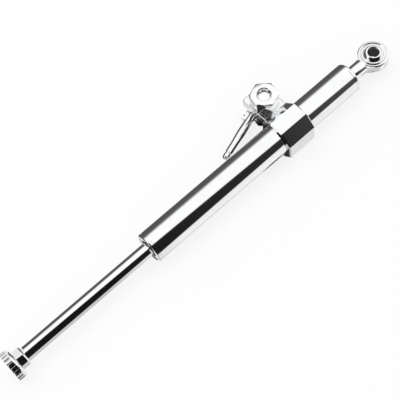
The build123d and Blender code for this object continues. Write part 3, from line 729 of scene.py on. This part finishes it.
# The tones that bright metal sees round the damper's axis, by the angle in degrees from straight up
# towards the camera's side
SURROUND = (
    (-180, 0.8),
    (-158, 0.85),
    (-146, 0.5),
    (-136, 0.085),
    (-74, 0.09),
    (-62, 0.2),
    (-46, 1.0),
    (92, 1.0),
    (97, 0.86),
    (150, 0.9),
    (164, 0.62),
    (180, 0.8),
)
# The dark card on the camera's side. Its edges run aslant: each is given as its angle in degrees where
# a direction has no X, and what a unit of X adds to that, with X held within the card's reach. An edge
# fades between the degrees that are given from it, and the end never lies past its limit.
CARD_REACH = (-0.1, 0.6)
CARD_START = (-1, 115)
CARD_START_FADE = (-4, 5)
CARD_END = (108, -50)
CARD_END_FADE = (-5, 5)
CARD_END_LIMIT = 102
# The card's tone is its black and two steps along X. A step is given as where it starts and stops,
# and its tones there.
CARD_BLACK = 0.002
CARD_TONES = ((0.12, 0.35, 0.006, 0.024), (0.33, 0.5, 0.0, 0.075))
# Next to the card's end the paper is in shade towards the knob. The share of light that it loses is
# such a step along X, and sets in between these degrees.
PAPER_SHADE = (0.12, 0.2, 0.34, 0.0)
PAPER_SHADE_FADE = (92, 97)


def make_camera(settings):
    data = bpy.data.cameras.new("photo_camera")
    data.lens = settings.camera_lens
    data.sensor_width = SENSOR_WIDTH
    data.shift_x, data.shift_y = CAMERA_SHIFT
    data.clip_start = CLIP_START
    camera = bpy.data.objects.new("photo_camera", data)
    bpy.context.scene.collection.objects.link(camera)
    place = Vector(settings.camera_place)
    back = (place - Vector(settings.camera_aim)).normalized()
    right = Vector((0.0, 0.0, 1.0)).cross(back).normalized()
    up = back.cross(right)
    level = Matrix((right, up, back)).transposed()
    roll = Matrix.Rotation(settings.camera_roll, 3, "Z")
    camera.matrix_world = Matrix.Translation(place) @ (level @ roll).to_4x4()
    bpy.context.scene.camera = camera


def make_floor(settings):
    """White paper under the damper, which bright metal sees through but for places painted dark as shade.
    """
    bpy.ops.object.select_all(action="DESELECT")
    low = cad_box[0][2]
    bpy.ops.mesh.primitive_plane_add(size=FLOOR_SIZE, location=(MIDDLE[0], MIDDLE[1], low - FLOOR_GAP))
    floor = bpy.context.object
    floor.name = "floor"
    material = bpy.data.materials.new("floor_paper")
    tree, surface = bare_tree(material, "ShaderNodeOutputMaterial")
    path = tree.nodes.new("ShaderNodeLightPath")
    paper = tree.nodes.new("ShaderNodeBsdfDiffuse")
    paper.inputs["Color"].default_value = (*settings.floor_colour, 1.0)
    white = tree.nodes.new("ShaderNodeEmission")
    lift = math(tree, "MULTIPLY", path.outputs["Is Camera Ray"], settings.floor_white)
    lifted = mix_shaders(tree, lift, paper.outputs[0], white.outputs[0])
    place = tree.nodes.new("ShaderNodeNewGeometry")
    shade = 0.0
    for x, y, full, end in PAINTED_SHADE_PLACES:
        reach = tree.nodes.new("ShaderNodeVectorMath")
        reach.operation = "DISTANCE"
        put(tree, place.outputs["Position"], reach.inputs[0])
        put(tree, (x, y, low), reach.inputs[1])
        patch = ramp_up(tree, reach.outputs["Value"], full, end, 1.0, 0.0)
        shade = math(tree, "MAXIMUM", shade, patch)
    # At those places bright metal sees painted shade, a dark glow instead of the paper
    clear = tree.nodes.new("ShaderNodeBsdfTransparent")
    dark = tree.nodes.new("ShaderNodeEmission")
    dark.inputs["Color"].default_value = PAINTED_SHADE_COLOUR
    seen = mix_shaders(tree, shade, clear.outputs[0], dark.outputs[0])
    put(tree, mix_shaders(tree, path.outputs["Is Glossy Ray"], lifted, seen), surface)
    floor.data.materials.append(material)


def make_end_card():
    """A white card behind the knob, which only bright metal sees."""
    bpy.ops.object.select_all(action="DESELECT")
    bpy.ops.mesh.primitive_plane_add(size=1.0, location=END_CARD_PLACE, rotation=(pi / 2, 0.0, 0.0))
    card = bpy.context.object
    card.name = "end_card"
    card.scale = (*END_CARD_SIZE, 1.0)
    bpy.ops.object.transform_apply(location=False, rotation=False, scale=True)
    card.visible_camera = False
    card.visible_diffuse = False
    card.visible_shadow = False
    card.visible_transmission = False
    material = bpy.data.materials.new("white_card")
    tree, surface = bare_tree(material, "ShaderNodeOutputMaterial")
    white = tree.nodes.new("ShaderNodeEmission")
    white.inputs["Strength"].default_value = END_CARD_STRENGTH
    put(tree, white.outputs[0], surface)
    card.data.materials.append(material)


def background(tree, colour, strength=1.0):
    node = tree.nodes.new("ShaderNodeBackground")
    put(tree, colour, node.inputs["Color"])
    node.inputs["Strength"].default_value = strength
    return node.outputs[0]


def seen_by_metal(tree):
    """The tone that bright metal sees in each direction."""
    where = tree.nodes.new("ShaderNodeTexCoord")
    direction = split_xyz(tree, where.outputs["Generated"])
    sideways = math(tree, "MULTIPLY", direction["Y"], -1.0)
    angle = math(tree, "ARCTAN2", sideways, direction["Z"])
    ramp = tree.nodes.new("ShaderNodeValToRGB")
    put(tree, ramp_up(tree, angle, -pi, pi, smooth=False), ramp.inputs[0])
    # A new ramp has two stops, which the first two tones take
    elements = ramp.color_ramp.elements
    for index, (turn, tone) in enumerate(SURROUND):
        place = (turn + 180) / 360
        stop = elements[index] if index < 2 else elements.new(place)
        stop.position = place
        stop.color = (tone, tone, tone, 1.0)

    reach = tree.nodes.new("ShaderNodeClamp")
    reach.inputs["Min"].default_value, reach.inputs["Max"].default_value = CARD_REACH
    put(tree, direction["X"], reach.inputs["Value"])
    start, end = (
        math(tree, "MULTIPLY_ADD", reach.outputs[0], radians(slope), radians(level))
        for level, slope in (CARD_START, CARD_END)
    )
    end = math(tree, "MINIMUM", end, radians(CARD_END_LIMIT))
    past_start = math(tree, "SUBTRACT", angle, start)
    past_end = math(tree, "SUBTRACT", angle, end)
    after_start = ramp_up(tree, past_start, *map(radians, CARD_START_FADE))
    before_end = ramp_up(tree, past_end, *map(radians, CARD_END_FADE), 1.0, 0.0)
    card = math(tree, "MULTIPLY", after_start, before_end)
    near, far = (ramp_up(tree, direction["X"], *step, smooth=False) for step in CARD_TONES)
    card_tone = math(tree, "ADD", math(tree, "ADD", near, far), CARD_BLACK)

    shade = ramp_up(tree, direction["X"], *PAPER_SHADE, smooth=False)
    under = math(tree, "MULTIPLY", shade, ramp_up(tree, angle, *map(radians, PAPER_SHADE_FADE)))
    lit = math(tree, "MULTIPLY", ramp.outputs["Color"], math(tree, "SUBTRACT", 1.0, under))
    return mix_values(tree, card, lit, card_tone)


def make_surround(settings):
    """An even white light, a white backdrop for the camera and the tones that bright metal sees."""
    world = bpy.data.worlds.new("studio")
    bpy.context.scene.world = world
    tree, surface = bare_tree(world, "ShaderNodeOutputWorld")
    even = background(tree, (*settings.floor_colour, 1.0), settings.surround_strength)
    backdrop = background(tree, (BACKDROP_TONE, BACKDROP_TONE, BACKDROP_TONE, 1.0))
    tones = background(tree, seen_by_metal(tree), GLOSSY_STRENGTH)
    path = tree.nodes.new("ShaderNodeLightPath")
    behind = mix_shaders(tree, path.outputs["Is Camera Ray"], even, backdrop)
    put(tree, mix_shaders(tree, path.outputs["Is Glossy Ray"], behind, tones), surface)


def make_softbox(settings):
    data = bpy.data.lights.new("softbox", "AREA")
    data.shape = "SQUARE"
    data.size = SOFTBOX_SIZE
    data.energy = settings.softbox_strength
    lamp = bpy.data.objects.new("softbox", data)
    bpy.context.scene.collection.objects.link(lamp)
    lamp.location = SOFTBOX_PLACE
    aim = Vector(MIDDLE) - lamp.location
    lamp.rotation_euler = aim.to_track_quat("-Z", "Y").to_euler()
    lamp.visible_glossy = False


class DAMPER_OT_stage(bpy.types.Operator):
    """Adds the camera, the floor, the end card, the surround and the lamp"""

    bl_idname = "damper.stage"
    bl_label = "Stage"

    def execute(self, context):
        settings = context.scene.damper_stage
        make_camera(settings)
        make_floor(settings)
        make_end_card()
        make_surround(settings)
        make_softbox(settings)
        context.scene.view_settings.view_transform = "Standard"
        return {"FINISHED"}


class DAMPER_PT_panel(bpy.types.Panel):
    bl_label = "Steering Damper"
    bl_idname = "DAMPER_PT_panel"
    bl_space_type = "VIEW_3D"
    bl_region_type = "UI"
    bl_category = "Damper"

    def draw(self, context):
        column = self.layout.column()
        for operator in OPERATORS:
            column.operator(operator.bl_idname)


OPERATORS = (
    DAMPER_OT_stage,
    DAMPER_OT_finishes,
    DAMPER_OT_machined,
    DAMPER_OT_forged,
    DAMPER_OT_thread,
)
CLASSES = (
    DamperFinishSettings,
    DamperShapeSettings,
    DamperStageSettings,
    *OPERATORS,
    DAMPER_PT_panel,
)


def register():
    for each in CLASSES:
        bpy.utils.register_class(each)
    bpy.types.Scene.damper_finish = PointerProperty(type=DamperFinishSettings)
    bpy.types.Scene.damper_shape = PointerProperty(type=DamperShapeSettings)
    bpy.types.Scene.damper_stage = PointerProperty(type=DamperStageSettings)


def unregister():
    del bpy.types.Scene.damper_stage
    del bpy.types.Scene.damper_shape
    del bpy.types.Scene.damper_finish
    for each in reversed(CLASSES):
        bpy.utils.unregister_class(each)


def main():
    register()
    bpy.ops.damper.stage()
    bpy.ops.damper.finishes()
    bpy.ops.damper.machined()
    bpy.ops.damper.forged()
    bpy.ops.damper.thread()


if __name__ == "__main__":
    main()
